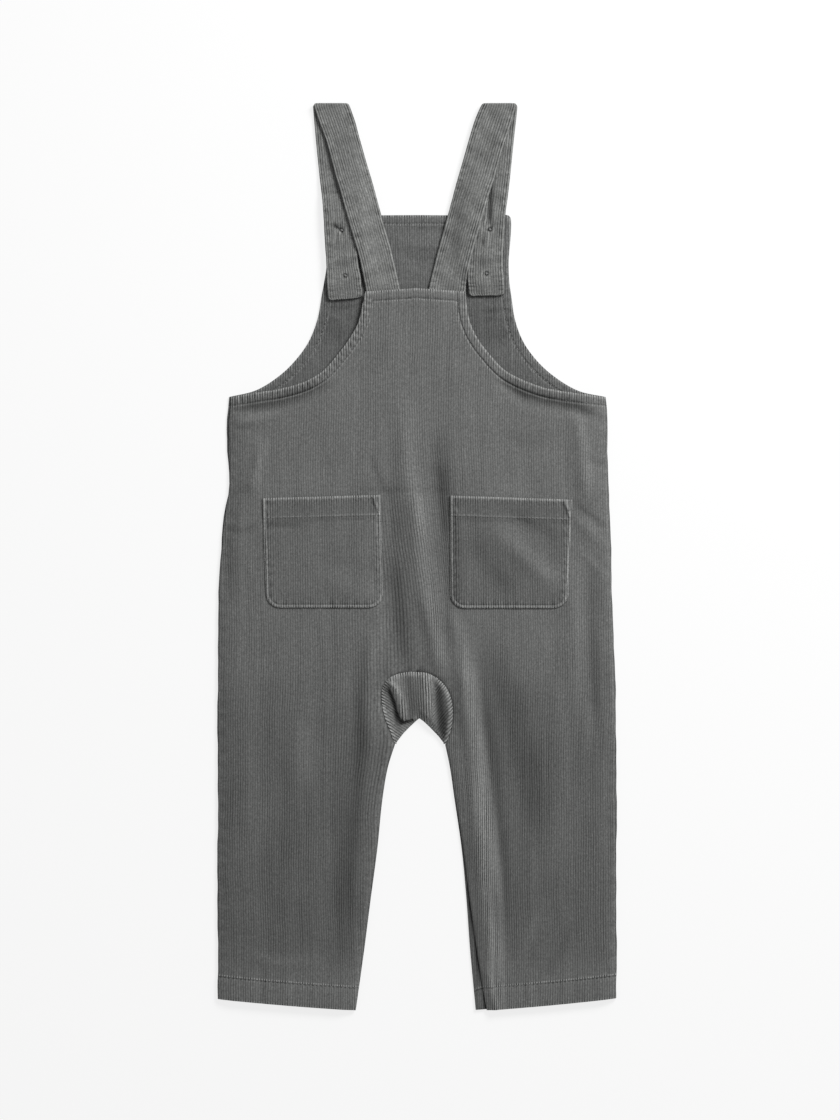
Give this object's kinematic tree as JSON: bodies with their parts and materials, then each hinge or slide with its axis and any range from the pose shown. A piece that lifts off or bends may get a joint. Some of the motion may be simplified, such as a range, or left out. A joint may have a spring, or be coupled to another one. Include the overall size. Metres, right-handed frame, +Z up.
{
  "type": "toddler overalls",
  "caption": "Toddler overalls in ribbed corduroy, laid flat with the back up: bib front, buttoned shoulder straps, patch pockets and a crotch gusset.",
  "frame": {"origin": "middle of the garment's box, on the surface that it lies on", "axes": "+X to the right as seen from above with the straps at the top, +Y towards the shoulder straps, +Z up from the surface"},
  "size_m": [0.295, 0.6706, 0.0089],
  "materials": {
    "corduroy": "matt, fine lengthwise wales with a soft pile",
    "strap_corduroy": "matt, fine lengthwise wales, a little paler where it is pressed",
    "button_plastic": "satin grey"
  },
  "bodies": {
    "root": {"front_panel": "corduroy", "back_panel": "corduroy", "gusset": "corduroy", "strap_left": "strap_corduroy", "strap_right": "strap_corduroy", "pocket_left": "corduroy", "pocket_right": "corduroy", "button_left_upper": "button_plastic", "button_right_upper": "button_plastic", "button_left_lower": "button_plastic", "button_right_lower": "button_plastic"}
  },
  "joints": []
}
